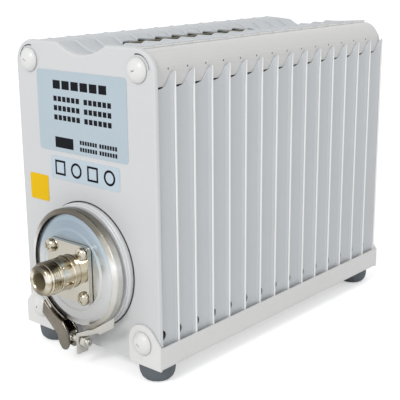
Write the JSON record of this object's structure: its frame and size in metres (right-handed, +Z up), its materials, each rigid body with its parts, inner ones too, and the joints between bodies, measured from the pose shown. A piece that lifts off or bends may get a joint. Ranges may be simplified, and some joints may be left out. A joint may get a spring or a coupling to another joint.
{
  "type": "rf dummy load",
  "caption": "Finned coaxial dummy load: a resistor section with a square-flanged coaxial connector, clamped to a cooling tank in a stack of nested grey sheet pans, on rubber feet.",
  "frame": {"origin": "under the middle of the part, on the plane of the feet", "axes": "+Z up, connector towards -Y, +X to the right seen from the front"},
  "size_m": [0.0946, 0.2224, 0.1537],
  "materials": {
    "grey_paint": "satin",
    "white_paint": "satin",
    "liner_bronze": "satin",
    "foot_rubber": "matte",
    "warm_nickel": "polished",
    "polished_steel": "polished",
    "turned_aluminium": "satin",
    "zinc_steel": "satin",
    "seal_rubber": "matte",
    "insulator": "matte",
    "resistor_ceramic": "matte"
  },
  "bodies": {
    "root": {"base_tray": "grey_paint", "centre_contact": "warm_nickel", "clamp_band": "polished_steel", "clamp_nut": "zinc_steel", "clamp_screw": "zinc_steel", "connector_body": "warm_nickel", "connector_screw_1": "warm_nickel", "connector_screw_2": "warm_nickel", "connector_screw_3": "warm_nickel", "connector_screw_4": "warm_nickel", "fin_01": "grey_paint", "fin_02": "grey_paint", "fin_03": "grey_paint", "fin_04": "grey_paint", "fin_05": "grey_paint", "fin_06": "grey_paint", "fin_07": "grey_paint", "fin_08": "grey_paint", "fin_09": "grey_paint", "fin_10": "grey_paint", "fin_11": "grey_paint", "fin_12": "grey_paint", "fin_13": "grey_paint", "fin_14": "grey_paint", "fin_15": "grey_paint", "foot_1": "foot_rubber", "foot_2": "foot_rubber", "foot_3": "foot_rubber", "foot_4": "foot_rubber", "foot_screw_1": "zinc_steel", "foot_screw_2": "zinc_steel", "foot_screw_3": "zinc_steel", "foot_screw_4": "zinc_steel", "front_disc": "turned_aluminium", "front_plate": "grey_paint", "inner_conductor": "warm_nickel", "insulator_bead": "insulator", "rail_left": "grey_paint", "rail_right": "grey_paint", "rear_plate": "grey_paint", "resistor": "resistor_ceramic", "resistor_housing": "turned_aluminium", "rod_nut_1": "zinc_steel", "rod_nut_2": "zinc_steel", "rod_nut_3": "zinc_steel", "rod_nut_4": "zinc_steel", "seal_ring": "seal_rubber", "slot_liner": "liner_bronze", "tank_cap": "white_paint", "tank_shell": "white_paint", "tie_rod_1": "grey_paint", "tie_rod_2": "grey_paint", "tie_rod_3": "grey_paint", "tie_rod_4": "grey_paint"}
  },
  "joints": []
}
